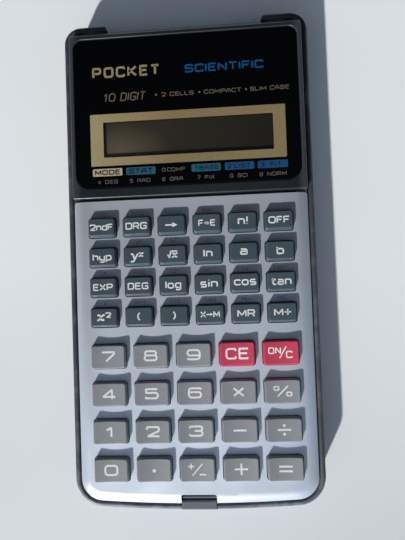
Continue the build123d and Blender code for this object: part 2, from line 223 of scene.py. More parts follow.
# painted highlight and shade: brighter at the keyboard end, where the plate rolls off towards the bright sky, and
# dimmer at both sides and towards the right; tones chosen for this view's light
c = m.mix(1.0, c, m.mix(m.map(m.axis(1), -0.052, 0.013, 0.0, 1.0), (1.27, 1.30, 1.33), (0.93, 0.93, 0.92)), "MULTIPLY")
edges = m.map(m.math("MULTIPLY", m.axis(0), m.axis(0)), 0.00075, 0.00115, 0.0, 1.0)
c = m.mix(1.0, c, m.mix(edges, (1.0, 1.0, 1.0), (0.86, 0.86, 0.86)), "MULTIPLY")
c = m.mix(1.0, c, m.mix(m.map(m.axis(0), 0.010, 0.034, 0.0, 1.0), (1.0, 1.0, 1.0), (0.90, 0.91, 0.93)), "MULTIPLY")
m.to_color(c)
m.to_rough(m.map(m.noise(60, 4, 0.6), 0.3, 0.7, 0.30, 0.42))
m.bump(m.noise(4200, 2, 0.5), 0.25, 0.000006)
m.bump(m.noise(30, 2, 0.5), 0.05, 0.00006)
m.coat(0.25, 0.28)
mat_silver = m

# black printed acrylic of the display window
m = Mat("window_black_gloss", (0.0013, 0.0014, 0.0018), rough=0.10, spec=0.5, ior=1.49)
smear = m.noise(22, 5, 0.6, distort=0.8)
m.to_rough(m.map(smear, 0.35, 0.70, 0.055, 0.16))
m.to_color(m.mix(m.map(m.noise(600, 4, 0.7), 0.62, 0.8, 0.0, 0.04), (0.0012, 0.0013, 0.0018), (0.05, 0.05, 0.05)))
m.bump(m.noise(18, 2, 0.4), 0.04, 0.00005)
m.coat(0.5, 0.04, 1.49)
mat_window = m

# clear pane of the same acrylic, over the liquid crystal
m = Mat("window_clear", (0.02, 0.02, 0.02), rough=0.05, spec=0.5, ior=1.49)
m.b.inputs["Alpha"].default_value = 0.16
m.to_rough(m.map(m.noise(40, 4, 0.6), 0.35, 0.7, 0.04, 0.12))
mat_pane = m

# liquid crystal: olive polariser with a faint cell weave; its lightening to the left and its bright spot at the lower
# left are a painted reflection
m = Mat("lcd_polariser", (0.06, 0.055, 0.035), rough=0.30, spec=0.4)
gx = m.map(m.axis(0), -0.026, 0.022, 0.0, 1.0)
c = m.mix(gx, (0.064, 0.054, 0.032), (0.020, 0.0175, 0.0125))
# painted reflection: a bright spot near the lower left, fading with distance from it
dx = m.math("MULTIPLY", m.math("ADD", m.axis(0), 0.0205), 0.55)
dy = m.math("ADD", m.axis(1), -0.0350)
glow = m.math("SQRT", m.math("ADD", m.math("MULTIPLY", dx, dx), m.math("MULTIPLY", dy, dy)))
c = m.mix(m.map(glow, 0.0, 0.0085, 0.80, 0.0), c, (0.235, 0.195, 0.125))
c = m.mix(m.map(m.noise(55, 3, 0.5), 0.35, 0.7, 0.0, 0.25), c, (0.050, 0.040, 0.028))
m.to_color(c)
m.to_rough(m.map(m.noise(1200, 2, 0.5), 0.3, 0.7, 0.26, 0.36))
m.bump(m.noise(3000, 2, 0.5), 0.1, 0.000004)
mat_lcd = m


def ink(name, color, rough=0.45, coat=0.0, patch=0.10):
    """Screen-printed ink: slightly uneven cover, thin and a little worn."""
    m = Mat(name, color, rough=rough, spec=0.5)
    m.to_color(m.mix(m.map(m.noise(1400, 4, 0.6), 0.35, 0.75, 0.0, 1.0), shade(color, 1 + patch), shade(color, 1 - patch)))
    m.to_rough(m.map(m.noise(700, 3, 0.5), 0.3, 0.7, rough - 0.05, rough + 0.08))
    m.bump(m.noise(2600, 2, 0.5), 0.2, 0.000005)
    if coat:
        m.coat(coat, 0.05, 1.49)
    return m


ink_white = ink("ink_white", (0.70, 0.72, 0.70))
ink_red_white = ink("ink_white_on_red", (0.82, 0.80, 0.80))
ink_gold = ink("ink_gold", (0.345, 0.280, 0.150), 0.34, 0.6)
_m = ink_gold  # the metallic print is brighter towards the left
# painted reflection: the gold print brightens towards the left
_sheen = _m.mix(_m.map(_m.axis(0), -0.030, -0.004, 0.0, 1.0), (1.0, 1.0, 1.0), (0.66, 0.62, 0.56))
_m.to_color(_m.mix(1.0, _m.b.inputs["Base Color"].links[0].from_socket, _sheen, "MULTIPLY"))
ink_gold_text = ink("ink_gold_text", (0.27, 0.225, 0.125), 0.38, 0.6)
ink_blue = ink("ink_blue", (0.004, 0.070, 0.190), 0.38, 0.6)
ink_teal = ink("ink_teal", (0.012, 0.098, 0.145), 0.38, 0.6)
ink_dark = ink("ink_dark", (0.012, 0.012, 0.012), 0.40, 0.6)
ink_cream_dim = ink("ink_cream_dim", (0.135, 0.108, 0.078), 0.40, 0.6)
ink_blue_block = ink("ink_blue_block", (0.008, 0.062, 0.165), 0.40, 0.6)
ink_cream = ink("ink_cream", (0.44, 0.37, 0.26), 0.38, 0.6)
ink_orange = ink("ink_orange", (0.40, 0.145, 0.085), 0.5)
ink_plate_blue = ink("ink_plate_blue", (0.10, 0.19, 0.36), 0.5)

# metals and the circuit board, all inside the closed body
m = Mat("cell_nickel", (0.62, 0.61, 0.58), rough=0.28, metal=1.0)
m.to_rough(m.map(m.noise(900, 3, 0.5, stretch=(1, 8, 1)), 0.3, 0.7, 0.20, 0.36))
m.bump(m.noise(700, 3, 0.5, stretch=(1, 10, 1)), 0.1, 0.00001)
mat_cell = m
m = Mat("contact_spring_plate", (0.66, 0.60, 0.44), rough=0.32, metal=1.0)
m.to_rough(m.map(m.noise(800, 3, 0.5, stretch=(12, 1, 1)), 0.3, 0.7, 0.25, 0.42))
m.bump(m.noise(800, 3, 0.5, stretch=(12, 1, 1)), 0.1, 0.00001)
mat_contact = m
m = Mat("screw_zinc", (0.50, 0.50, 0.49), rough=0.34, metal=1.0)
m.to_color(m.mix(m.map(m.noise(500, 3, 0.5), 0.4, 0.7, 0.0, 0.6), (0.52, 0.52, 0.50), (0.34, 0.33, 0.30)))
m.bump(m.noise(1500, 3, 0.5), 0.15, 0.00001)
mat_screw = m
m = Mat("board_green", (0.02, 0.11, 0.035), rough=0.30)
tracks = m.voronoi(230, feature="DISTANCE_TO_EDGE")
m.to_color(m.mix(m.map(tracks, 0.02, 0.10, 1.0, 0.0), (0.016, 0.095, 0.03), (0.05, 0.21, 0.07)))
m.bump(tracks, 0.2, 0.00002)
mat_board = m

CAD_MATS = {
    "hard_case": mat_case, "case_latch": mat_case, "front_frame": mat_slate, "rear_cover": mat_slate,
    "keyboard_plate": mat_silver, "lcd_glass": mat_lcd, "lcd_holder": mat_inner, "lcd_connector_strip": mat_zebra,
    "circuit_board": mat_board, "controller_chip": mat_resin, "rubber_keypad": mat_rubber, "button_cells": mat_cell,
    "battery_contacts": mat_contact, "cover_screws": mat_screw, "board_screws": mat_screw, "display_window": mat_window,
}

SMALL_X = [-26.8, -16.08, -5.36, 5.36, 16.08, 26.8]
SMALL_Y = [10.95, 1.85, -7.25, -16.4]
LARGE_X = [-25.9, -12.95, 0.0, 12.95, 25.9]
LARGE_Y = [-28.25, -39.55, -50.8, -62.1]
SMALL_NAMES = [
    ["2nd", "drg", "right_arrow", "f_e", "factorial", "off"],
    ["hyp", "power", "root", "ln", "a", "b"],
    ["exp", "deg", "log", "sin", "cos", "tan"],
    ["square", "open_bracket", "close_bracket", "store", "recall", "memory_plus"],
]
LARGE_NAMES = [
    ["7", "8", "9", "ce", "on_c"],
    ["4", "5", "6", "multiply", "percent"],
    ["1", "2", "3", "minus", "divide"],
    ["0", "point", "sign", "plus", "equals"],
]
for names, mat in ((SMALL_NAMES, mat_dark_key), (LARGE_NAMES, mat_grey_key)):
    for row in names:
        for n in row:
            CAD_MATS["key_" + n] = mat
CAD_MATS["key_ce"] = CAD_MATS["key_on_c"] = mat_red_key

for name, mat in CAD_MATS.items():
    ob = NODES[name]
    if not ob.material_slots:
        ob.data.materials.append(mat.m)
    for s in ob.material_slots:
        s.material = mat.m

# ------------------------------------------------ the keypad sheet and its domes
# The moulded sheet is one piece of silicone. It stands here as a flat sheet and 44
# domes, so that each dome can flatten under its own key.
def part_of(src, name, faces, body="calculator", mat=mat_rubber, wide=1.0, top=1.0):
    """The given faces of a node's mesh, as an object of their own."""
    verts, index, out = [], {}, []
    for f in faces:
        ring = []
        for i in f.vertices:
            if i not in index:
                index[i] = len(verts)
                q = src.data.vertices[i].co
                verts.append((q.x * wide, q.y, min(q.z, top)))
            ring.append(index[i])
        out.append(ring)
    me = bpy.data.meshes.new(name)
    me.from_pydata(verts, [], out)
    me.update()
    me.materials.append(mat.m)
    ob = bpy.data.objects.new(name, me)
    bpy.context.scene.collection.objects.link(ob)
    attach(ob, body)
    return ob


SHEET_TOP = 0.0062
keypad = NODES["rubber_keypad"]
centres = {n: (x * MM, y * MM) for xs, ys, names in ((SMALL_X, SMALL_Y, SMALL_NAMES), (LARGE_X, LARGE_Y, LARGE_NAMES))
           for y, row in zip(ys, names) for x, n in zip(xs, row)}
groups, flat = {n: [] for n in centres}, []
for f in keypad.data.polygons:
    pts = [keypad.data.vertices[i].co for i in f.vertices]
    if max(q.z for q in pts) > SHEET_TOP + 0.00002:
        cx, cy = sum(q.x for q in pts) / len(pts), sum(q.y for q in pts) / len(pts)
        groups[min(centres, key=lambda n: (centres[n][0] - cx) ** 2 + (centres[n][1] - cy) ** 2)].append(f)
    else:
        flat.append(f)
keypad_sheet = part_of(keypad, "keypad_sheet", flat)
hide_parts("rubber_keypad")
for n, faces in groups.items():
    dome = part_of(keypad, "dome_" + n, faces, top=0.00749)
    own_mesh(dome)

# the spring tongue, with its sides drawn out close to the slot it moves in
tongue = part_of(NODES["case_latch"], "case_tongue", list(NODES["case_latch"].data.polygons), "latch", mat_tongue_painted_lit, 5.37 / 5.15)
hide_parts("case_latch")

# ------------------------------------------------------- lettering from strokes
# Wide, square-shouldered letters. Each glyph is a width and a list of strokes on
# their centre lines, with y from 0 on the baseline to 1 at capital height.
# A stroke is (points, closed); "r" is the corner radius as a share of the height.
R = 0.26
Z = 0.12  # factor of a nearly sharp corner
G = {
    "0": (1.0, [([(0, 0), (1, 0), (1, 1), (0, 1)], True)]),
    "1": (0.62, [([(0.06, 0.72, Z), (0.44, 1.0, Z), (0.44, 0.0)], False)]),
    "2": (1.0, [([(0, 0.74), (0, 1), (1, 1), (1, 0.56), (0.0, 0.0, Z), (1.02, 0)], False)]),
    "3": (1.0, [([(0, 0.80), (0, 1), (1, 1), (1, 0.52), (0.36, 0.52)], False), ([(0.36, 0.52), (1, 0.52), (1, 0), (0, 0), (0, 0.2)], False)]),
    "4": (1.05, [([(1.05, 0.25), (0, 0.25, Z), (0.76, 1.0, Z), (0.76, 0.0)], False)]),
    "5": (1.0, [([(0.96, 1), (0.04, 1, Z), (0.02, 0.60, Z), (1, 0.60), (1, 0), (0, 0), (0, 0.18)], False)]),
    "6": (1.0, [([(0.96, 0.84), (0.96, 1), (0, 1), (0, 0), (1, 0), (1, 0.58), (0.04, 0.58)], False)]),
    "7": (1.0, [([(0, 1), (1, 1, Z), (1, 0.80, 0.5), (0.32, 0.0)], False)]),
    "8": (1.0, [([(0.05, 0.54), (0.95, 0.54), (0.95, 1), (0.05, 1)], True), ([(0, 0), (1, 0), (1, 0.54), (0, 0.54)], True)]),
    "9": (1.0, [([(0.96, 0.42), (0, 0.42), (0, 1), (1, 1), (1, 0), (0.04, 0), (0.04, 0.16)], False)]),
    "A": (1.0, [([(0, 0), (0, 0.50), (0.30, 1.0), (0.70, 1.0), (1, 0.50), (1, 0)], False), ([(0.04, 0.34), (0.96, 0.34)], False)]),
    "B": (1.0, [([(0, 0), (0, 1, Z), (0.93, 1), (0.93, 0.52), (0.1, 0.52)], False), ([(0.1, 0.52), (1, 0.52), (1, 0), (0, 0, Z), (0, 0.2)], False)]),
    "C": (0.95, [([(0.95, 0.78), (0.95, 1), (0, 1), (0, 0), (0.95, 0), (0.95, 0.22)], False)]),
    "D": (1.0, [([(0, 0, Z), (0, 1, Z), (1, 1), (1, 0)], True)]),
    "E": (0.88, [([(0.90, 1), (0, 1, Z), (0, 0, Z), (0.90, 0)], False), ([(0.04, 0.52), (0.80, 0.52)], False)]),
    "F": (0.85, [([(0.88, 1), (0, 1, Z), (0, 0)], False), ([(0.04, 0.50), (0.76, 0.50)], False)]),
    "G": (1.0, [([(1, 0.78), (1, 1), (0, 1), (0, 0), (1, 0, 0.5), (1, 0.48, Z), (0.50, 0.48)], False)]),
    "H": (1.0, [([(0, 0), (0, 1)], False), ([(1, 0), (1, 1)], False), ([(0, 0.52), (1, 0.52)], False)]),
    "I": (0.0, [([(0, 0), (0, 1)], False)]),
    "K": (1.0, [([(0, 0), (0, 1)], False), ([(1.0, 1), (0.22, 0.52, Z), (1.02, 0)], False), ([(0, 0.52), (0.24, 0.52)], False)]),
    "L": (0.82, [([(0, 1), (0, 0, Z), (0.85, 0)], False)]),
    "M": (1.2, [([(0, 0), (0, 1, Z), (0.60, 0.22, Z), (1.20, 1, Z), (1.20, 0)], False)]),
    "N": (1.0, [([(0, 0), (0, 1, Z), (1, 0, Z), (1, 1)], False)]),
    "O": (1.05, [([(0, 0), (1.05, 0), (1.05, 1), (0, 1)], True)]),
    "P": (0.95, [([(0, 0), (0, 1, Z), (0.95, 1), (0.95, 0.42), (0.04, 0.42)], False)]),
    "R": (0.97, [([(0, 0), (0, 1, Z), (0.95, 1), (0.95, 0.44), (0.04, 0.44)], False), ([(0.50, 0.44), (0.97, 0)], False)]),
    "S": (0.95, [([(0.95, 0.82), (0.95, 1), (0, 1), (0, 0.52), (0.95, 0.52), (0.95, 0), (0, 0), (0, 0.18)], False)]),
    "T": (0.95, [([(0, 1), (0.95, 1)], False), ([(0.475, 1), (0.475, 0)], False)]),
    "U": (1.0, [([(0, 1), (0, 0), (1, 0), (1, 1)], False)]),
    "X": (1.0, [([(0, 0), (1, 1)], False), ([(0, 1), (1, 0)], False)]),
    "Y": (1.0, [([(0, 1), (0.5, 0.46, Z), (1, 1)], False), ([(0.5, 0.46), (0.5, 0)], False)]),
    "a": (0.86, [([(0.02, 0.74), (0.84, 0.74), (0.84, 0), (0.92, 0)], False), ([(0.84, 0.42), (0, 0.42), (0, 0), (0.84, 0)], False)]),
    "b": (0.88, [([(0, 1.04), (0, 0, Z), (0.88, 0), (0.88, 0.74), (0, 0.74)], False)]),
    "c": (0.84, [([(0.84, 0.56), (0.84, 0.74), (0, 0.74), (0, 0), (0.84, 0), (0.84, 0.18)], False)]),
    "d": (0.88, [([(0.88, 1.04), (0.88, 0, Z), (0, 0), (0, 0.74), (0.88, 0.74)], False)]),
    "e": (0.86, [([(0.04, 0.38), (0.86, 0.38), (0.86, 0.74), (0, 0.74), (0, 0), (0.84, 0)], False)]),
    "g": (0.88, [([(0.88, 0.04), (0, 0.04), (0, 0.74), (0.88, 0.74, Z), (0.88, -0.30), (0.04, -0.30)], False)]),
    "h": (0.86, [([(0, 1.04), (0, 0)], False), ([(0, 0.74), (0.86, 0.74), (0.86, 0)], False)]),
    "i": (0.0, [([(0, 0), (0, 0.74)], False), ([(0, 0.98), (0, 1.08)], False)]),
    "l": (0.0, [([(0, 0), (0, 1.04)], False)]),
    "n": (0.86, [([(0, 0), (0, 0.74, Z), (0.86, 0.74), (0.86, 0)], False)]),
    "o": (0.90, [([(0, 0), (0.90, 0), (0.90, 0.74), (0, 0.74)], True)]),
    "p": (0.88, [([(0, -0.34), (0, 0.74, Z), (0.88, 0.74), (0.88, 0), (0, 0)], False)]),
    "s": (0.82, [([(0.80, 0.74), (0, 0.74), (0, 0.38), (0.82, 0.38), (0.82, 0), (0.0, 0)], False)]),
    "t": (0.60, [([(0.14, 0.98), (0.14, 0), (0.64, 0)], False), ([(-0.08, 0.74), (0.60, 0.74)], False)]),
    "y": (0.88, [([(0, 0.74), (0, 0.04), (0.88, 0.04)], False), ([(0.88, 0.74), (0.88, -0.34), (0.08, -0.34)], False)]),
    "x": (0.80, [([(0, 0), (0.80, 0.72)], False), ([(0, 0.72), (0.80, 0)], False)]),
    "!": (0.0, [([(0, 0.36), (0, 1.06)], False), ([(0, 0.0), (0, 0.08)], False)]),
    "(": (0.34, [([(0.34, 1.12), (0.0, 0.72), (0.0, 0.26), (0.34, -0.14)], False)]),
    ")": (0.34, [([(0.0, 1.12), (0.34, 0.72), (0.34, 0.26), (0.0, -0.14)], False)]),
    "+": (0.95, [([(0.0, 0.5), (0.95, 0.5)], False), ([(0.475, 0.02), (0.475, 0.98)], False)]),
    "-": (0.70, [([(0, 0.5), (0.70, 0.5)], False)]),
    ">": (1.75, [([(0, 0.42), (1.10, 0.42)], False), ([(1.02, 0.78), (1.02, 0.06), (1.75, 0.42)], "fill")]),
    "<": (1.10, [([(0.2, 0.42), (0.9, 0.42)], False), ([(0.44, 0.72), (0.0, 0.42), (0.44, 0.12)], "fill"), ([(0.66, 0.72), (0.66, 0.12), (1.10, 0.42)], "fill")]),
    "/": (0.55, [([(0, -0.06), (0.55, 1.06)], False)]),
    ".": (0.0, [([(0, 0.0), (0, 0.06)], False)]),
    "v": (0.95, [([(0, 0.42, Z), (0.16, 0.46, Z), (0.40, -0.06, Z), (0.66, 1.14, Z), (1.78, 1.14)], False)]),
    "p.i": (0.9, [([(0, 0.72), (0.9, 0.72)], False), ([(0.22, 0.72), (0.22, 0)], False), ([(0.68, 0.72), (0.68, 0)], False)]),
    " ": (0.45, []),
}
# slanted x and y for the algebraic legends, drawn as curves with serifs
G["ix"] = (0.98, [([(0.06, 0.62), (0.24, 0.76), (0.38, 0.62), (0.58, 0.12), (0.74, -0.02), (0.94, 0.14)], False),
                  ([(1.02, 0.66), (0.84, 0.74), (0.18, 0.0), (0.0, 0.06)], False)])
G["iy"] = (0.98, [([(0.02, 0.66), (0.20, 0.76), (0.36, 0.58), (0.46, 0.08)], False),
                  ([(1.0, 0.72), (0.90, 0.62), (0.42, -0.24), (0.16, -0.36), (0.0, -0.24)], False)])


def round_path(pts, closed, r):
    """Replace a path's corners with arcs."""
    out = []
    n = len(pts)
    base_r = r
    for i in range(n):
        r = base_r * (pts[i][2] if len(pts[i]) > 2 else 1.0)
        p = Vector(pts[i][:2])
        if not closed and i in (0, n - 1):
            out.append(p)
            continue
        a, b = Vector(pts[i - 1][:2]), Vector(pts[(i + 1) % n][:2])
        da, db = (a - p), (b - p)
        la, lb = da.length, db.length
        if la < 1e-6 or lb < 1e-6:
            out.append(p)
            continue
        da, db = da / la, db / lb
        turn = math.pi - da.angle(db)
        if turn < 0.15:
            out.append(p)
            continue
        cut = min(r * math.tan(turn / 2), 0.48 * la, 0.48 * lb)
        rr = cut / math.tan(turn / 2)
        centre = p + (da + db).normalized() * (rr / math.cos(turn / 2))
        p0, p1 = p + da * cut, p + db * cut
        v0, v1 = p0 - centre, p1 - centre
        a0 = math.atan2(v0.y, v0.x)
        sweep = (math.atan2(v1.y, v1.x) - a0 + math.pi) % (2 * math.pi) - math.pi
        steps = max(3, int(abs(sweep) / 0.26))
        for k in range(steps + 1):
            t = a0 + sweep * k / steps
            out.append(centre + Vector((math.cos(t), math.sin(t))) * rr)
    return out


def densify(pts, closed, step):
    out = []
    n = len(pts)
    for i in range(n if closed else n - 1):
        a, b = pts[i], pts[(i + 1) % n]
        k = max(1, int((b - a).length / step + 0.5))
        out += [a.lerp(b, j / k) for j in range(k)]
    if not closed:
        out.append(pts[-1])
    return out


def ribbon(pts, closed, width):
    """Left and right outlines of a stroke, mitred."""
    n = len(pts)
    left, right = [], []
    for i in range(n):
        if closed:
            a, b = pts[i - 1], pts[(i + 1) % n]
            d0, d1 = (pts[i] - a), (b - pts[i])
        else:
            d0 = pts[i] - pts[i - 1] if i else pts[1] - pts[0]
            d1 = pts[i + 1] - pts[i] if i < n - 1 else pts[-1] - pts[-2]
        d0, d1 = d0.normalized(), d1.normalized()
        t = (d0 + d1)
        t = t.normalized() if t.length > 1e-6 else d0
        nrm = Vector((-t.y, t.x))
        k = 1.0 / max(0.5, nrm.dot(Vector((-d0.y, d0.x))))
        left.append(pts[i] + nrm * width / 2 * k)
        right.append(pts[i] - nrm * width / 2 * k)
    return left, right


class Print:
    """Collects flat strokes and filled shapes that lie on a surface, as one thin closed mesh."""

    def __init__(self, surface, proud=0.012, deep=0.03):
        self.v, self.f = [], []
        self.surface, self.proud, self.deep = surface, proud, deep

    def strip(self, left, right, closed):
        n = len(left)
        base = len(self.v)
        for pts, dz in ((left, self.proud), (right, self.proud), (left, -self.deep), (right, -self.deep)):
            for p in pts:
                self.v.append((p.x * MM, p.y * MM, (self.surface(p.x, p.y) + dz) * MM))
        L, Rt, Lb, Rb = (base + n * k for k in range(4))
        for i in range(n if closed else n - 1):
            j = (i + 1) % n
            self.f += [(L + j, L + i, Rt + i, Rt + j), (Lb + i, Lb + j, Rb + j, Rb + i),
                       (L + i, L + j, Lb + j, Lb + i), (Rt + j, Rt + i, Rb + i, Rb + j)]
        if not closed:
            self.f += [(L, Lb, Rb, Rt), (Lb + n - 1, L + n - 1, Rt + n - 1, Rb + n - 1)]

    def stroke(self, pts, closed, width, r, step=0.6):
        path = densify(round_path(pts, closed, r), closed, step)
        left, right = ribbon(path, closed, width)
        self.strip(left, right, closed)

    def text(self, glyphs, x, y, h, width=1.0, stroke=0.18, gap=0.34, align="C", slant=0.0, r=R, step=0.6):
        """glyphs: text or a list of (glyph, scale, lift). x, y is the middle of the cap-height box."""
        items = [(g, 1.0, 0.0) if isinstance(g, str) else g for g in glyphs]
        pen, laid = 0.0, []
        for g, s, lift in items:
            w = G[g][0] * width * s
            laid.append((g, s, lift, pen))
            pen += w + gap * (0.6 + 0.4 * s)
        total = pen - gap * (0.6 + 0.4 * items[-1][1])
        x0 = x - total * h / 2 if align == "C" else x
        for g, s, lift, px in laid:
            for pts, closed in G[g][1]:
                q = [(x0 + (px + c[0] * width * s + slant * (c[1] * s + lift)) * h, y + (c[1] * s + lift - 0.5) * h,
                      c[2] if len(c) > 2 else 1.0) for c in pts]
                if closed == "fill":
                    self.shape([Vector(c[:2]) for c in q])
                else:
                    self.stroke(q, closed, stroke * h * (0.5 + 0.5 * s), r * h * s, step)
        return total * h

    def patch(self, x0, x1, y0, y1, r=0.3, n=6):
        """A filled rounded rectangle."""
        pts = []
        for cx, cy, a0 in ((x1 - r, y1 - r, 0), (x0 + r, y1 - r, 90), (x0 + r, y0 + r, 180), (x1 - r, y0 + r, 270)):
            for k in range(n + 1):
                a = math.radians(a0 + 90 * k / n)
                pts.append(Vector((cx + r * math.cos(a), cy + r * math.sin(a))))
        self.shape(pts)

    def shape(self, pts):
        """A filled convex outline."""
        if sum(a.x * b.y - a.y * b.x for a, b in zip(pts, pts[1:] + pts[:1])) < 0:
            pts = pts[::-1]
        base, m = len(self.v), len(pts)
        for dz in (self.proud, -self.deep):
            for p in pts:
                self.v.append((p.x * MM, p.y * MM, (self.surface(p.x, p.y) + dz) * MM))
        self.f.append(tuple(base + i for i in range(m)))
        self.f.append(tuple(base + m + i for i in reversed(range(m))))
        for i in range(m):
            j = (i + 1) % m
            self.f.append((base + j, base + i, base + m + i, base + m + j))

    def ring(self, outer, inner, r_out, r_in, n=6):
        """A flat frame between two rounded rectangles."""
        def loop(box, r):
            x0, x1, y0, y1 = box
            pts = []
            for cx, cy, a0 in ((x1 - r, y1 - r, 0), (x0 + r, y1 - r, 90), (x0 + r, y0 + r, 180), (x1 - r, y0 + r, 270)):
                for k in range(n + 1):
                    a = math.radians(a0 + 90 * k / n)
                    pts.append(Vector((cx + r * math.cos(a), cy + r * math.sin(a))))
            return pts
        self.strip(loop(inner, r_in), loop(outer, r_out), True)

    def make(self, name, mat, body, slot):
        if not self.v:
            return None
        me = bpy.data.meshes.new(name)
        me.from_pydata(self.v, [], self.f)
        me.update()
        me.materials.append(mat.m)
        ob = bpy.data.objects.new(name, me)
        bpy.context.scene.collection.objects.link(ob)
        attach(ob, body)
        return ob


# ------------------------------------------------------------ legends on the keys
SMALL_TOP = 13.0
LARGE_TOP, DISH, HALF = 13.2, 0.45, 5.05
BIG_R = (HALF * HALF + DISH * DISH) / (2 * DISH)

SMALL_TEXT = {
    "2nd": (["2", "n", "d", "F"], 1.60, 0.92, 0.30), "drg": (list("DRG"), 1.72, 0.97, 0.34),
    "right_arrow": ([">"], 2.1, 1.0, 0.3), "f_e": (["F", ("<", 1.08, 0.02), "E"], 1.60, 0.90, 0.20),
    "factorial": (["n", "!"], 2.0, 1.0, 0.42), "off": (list("OFF"), 1.72, 1.0, 0.34),
    "hyp": (list("hyp"), 1.75, 0.94, 0.34), "power": ([("iy", 1.25, 0.0), ("ix", 0.80, 0.46)], 1.8, 1.0, 0.12),
    "root": (["v", ("ix", 1.0, 0.06)], 1.70, 1.0, -0.12), "ln": (list("ln"), 1.85, 1.0, 0.42),
    "a": (["a"], 2.0, 1.08, 0.3), "b": (["b"], 1.9, 1.05, 0.3),
    "exp": (list("EXP"), 1.70, 0.95, 0.33), "deg": (list("DEG"), 1.70, 0.96, 0.36),
    "log": (list("log"), 1.85, 0.93, 0.36), "sin": (list("sin"), 1.90, 1.02, 0.42),
    "cos": (list("cos"), 1.92, 0.96, 0.38), "tan": (list("tan"), 1.88, 0.96, 0.34),
    "square": ([("ix", 1.22, 0.0), ("2", 0.70, 0.48)], 1.9, 1.0, 0.26),
    "open_bracket": (["("], 1.8, 0.9, 0.3), "close_bracket": ([")"], 1.8, 0.9, 0.3),
    "store": (["X", (">", 0.80, 0.14), "M"], 1.60, 0.86, 0.18), "recall": (list("MR"), 1.80, 1.08, 0.38),
    "memory_plus": (list("M+"), 1.80, 1.08, 0.32),
}
for yy, row in zip(SMALL_Y, SMALL_NAMES):
    for xx, n in zip(SMALL_X, row):
        p = Print(lambda x, y: SMALL_TOP)
        glyphs, h, wide, gap = SMALL_TEXT[n]
        weight = 0.235 if n in ("power", "root", "square") else 0.222
        low = {"a": 0.14, "cos": 0.14, "factorial": 0.1, "power": -0.06, "square": 0.04, "root": -0.04}.get(n, 0.0)
        p.text(glyphs, xx, yy + 0.12 + low * h, h, wide, weight, gap)
        p.make("legend_" + n, ink_white, "key_" + n, "dark_key")


def dished(cx):
    return lambda x, y: LARGE_TOP - DISH + BIG_R - math.sqrt(BIG_R * BIG_R - (x - cx) ** 2)


for yy, row in zip(LARGE_Y, LARGE_NAMES):
    for xx, n in zip(LARGE_X, row):
        p = Print(dished(xx))
        s, y0 = 0.58, yy + 0.10
        if n.isdigit():
            p.text([n], xx - (0.15 if n == "1" else 0.0), y0, 2.72, 1.34, s / 2.72, 0.3, r=0.32)
        elif n == "ce":
            p.text(list("CE"), xx, y0, 2.85, 1.0, 0.54 / 2.85, 0.40, r=0.30)
        elif n == "on_c":
            p.text(list("ON"), xx - 1.95, y0 + 0.62, 1.65, 0.84, 0.22, 0.36, r=0.26)
            p.stroke([(xx - 0.55, y0 - 1.7), (xx + 1.45, y0 + 1.75)], False, 0.36, 0)
            p.text(["C"], xx + 2.30, y0 - 0.62, 1.75, 0.95, 0.22, 0.3, r=0.26)
        elif n == "multiply":
            for a in (1, -1):
                p.stroke([(xx - 1.45, y0 - 1.15 * a), (xx + 1.45, y0 + 1.15 * a)], False, s, 0)
        elif n == "percent":
            p.stroke([(xx - 1.55, y0 - 1.5), (xx + 1.55, y0 + 1.5)], False, 0.44, 0)
            for a in (1, -1):
                cx, cy = xx - 1.85 * a, y0 + 0.85 * a
                p.stroke([(cx - 0.72, cy - 0.52), (cx + 0.72, cy - 0.52), (cx + 0.72, cy + 0.52), (cx - 0.72, cy + 0.52)], True, 0.40, 0.40, 0.3)
        elif n == "minus":
            p.stroke([(xx - 1.9, y0), (xx + 1.9, y0)], False, s, 0)
        elif n == "divide":
            p.stroke([(xx - 1.95, y0), (xx + 1.95, y0)], False, s, 0)
            for a in (1.25, -1.25):
                p.patch(xx - 0.42, xx + 0.42, y0 + a - 0.42, y0 + a + 0.42, 0.41)
        elif n == "point":
            p.patch(xx - 0.52, xx + 0.52, y0 - 0.75, y0 + 0.29, 0.51)
        elif n == "sign":
            p.stroke([(xx - 2.75, y0 + 0.95), (xx - 0.95, y0 + 0.95)], False, 0.42, 0)
            p.stroke([(xx - 1.85, y0 + 0.10), (xx - 1.85, y0 + 1.80)], False, 0.42, 0)
            p.stroke([(xx - 1.55, y0 - 1.75), (xx + 1.55, y0 + 1.75)], False, 0.36, 0)
            p.stroke([(xx + 0.55, y0 - 1.45), (xx + 2.55, y0 - 1.45)], False, 0.42, 0)
        elif n == "plus":
            p.stroke([(xx - 1.95, y0), (xx + 1.95, y0)], False, s, 0)
            p.stroke([(xx, y0 - 1.65), (xx, y0 + 1.65)], False, s, 0)
        elif n == "equals":
            for a in (0.68, -0.68):
                p.stroke([(xx - 1.95, y0 + a), (xx + 1.95, y0 + a)], False, s, 0)
        p.make("legend_" + n, ink_red_white if n in ("ce", "on_c") else ink_white, "key_" + n, "grey_key")

